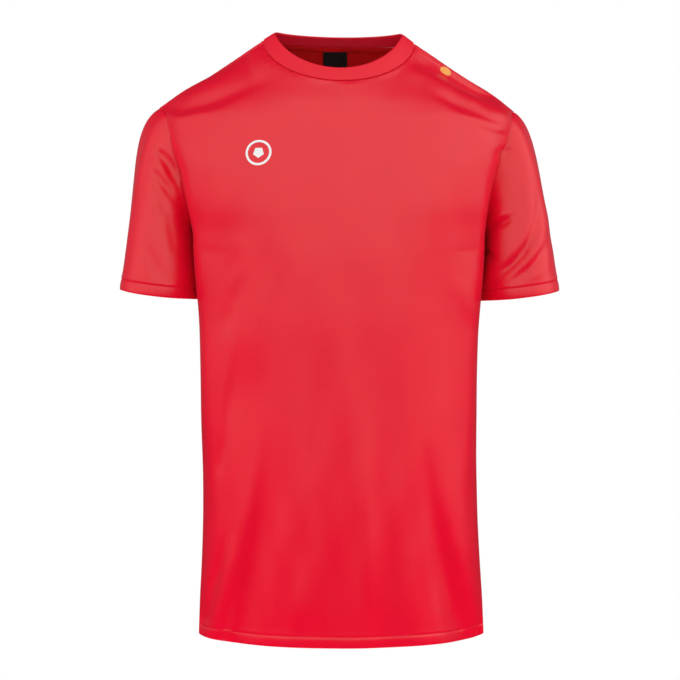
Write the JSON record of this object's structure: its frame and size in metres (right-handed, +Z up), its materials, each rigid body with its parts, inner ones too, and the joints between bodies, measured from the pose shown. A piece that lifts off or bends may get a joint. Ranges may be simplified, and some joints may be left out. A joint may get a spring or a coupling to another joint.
{
  "type": "football jersey",
  "caption": "Short-sleeved crew-neck football jersey in knitted cloth, filled out as if worn and open at the neck, hem and cuffs, with set-in sleeves and turned hems.",
  "frame": {"origin": "on the wearer's middle line, midway between the points where the two shoulder seams meet the collar", "axes": "+X to the wearer's left, +Y to the wearer's back, +Z up"},
  "size_m": [0.5155, 0.2488, 0.714],
  "materials": {
    "jersey_cloth": "smooth knitted polyester with a light sheen",
    "collar_rib": "fine rib knit",
    "neck_tape_cloth": "narrow folded tape of the jersey's cloth",
    "label_black": "woven label, bare"
  },
  "bodies": {
    "root": {"front_panel": "jersey_cloth", "back_panel": "jersey_cloth", "sleeve_right": "jersey_cloth", "sleeve_left": "jersey_cloth", "collar": "collar_rib", "neck_tape": "neck_tape_cloth", "neck_label": "label_black"}
  },
  "joints": []
}
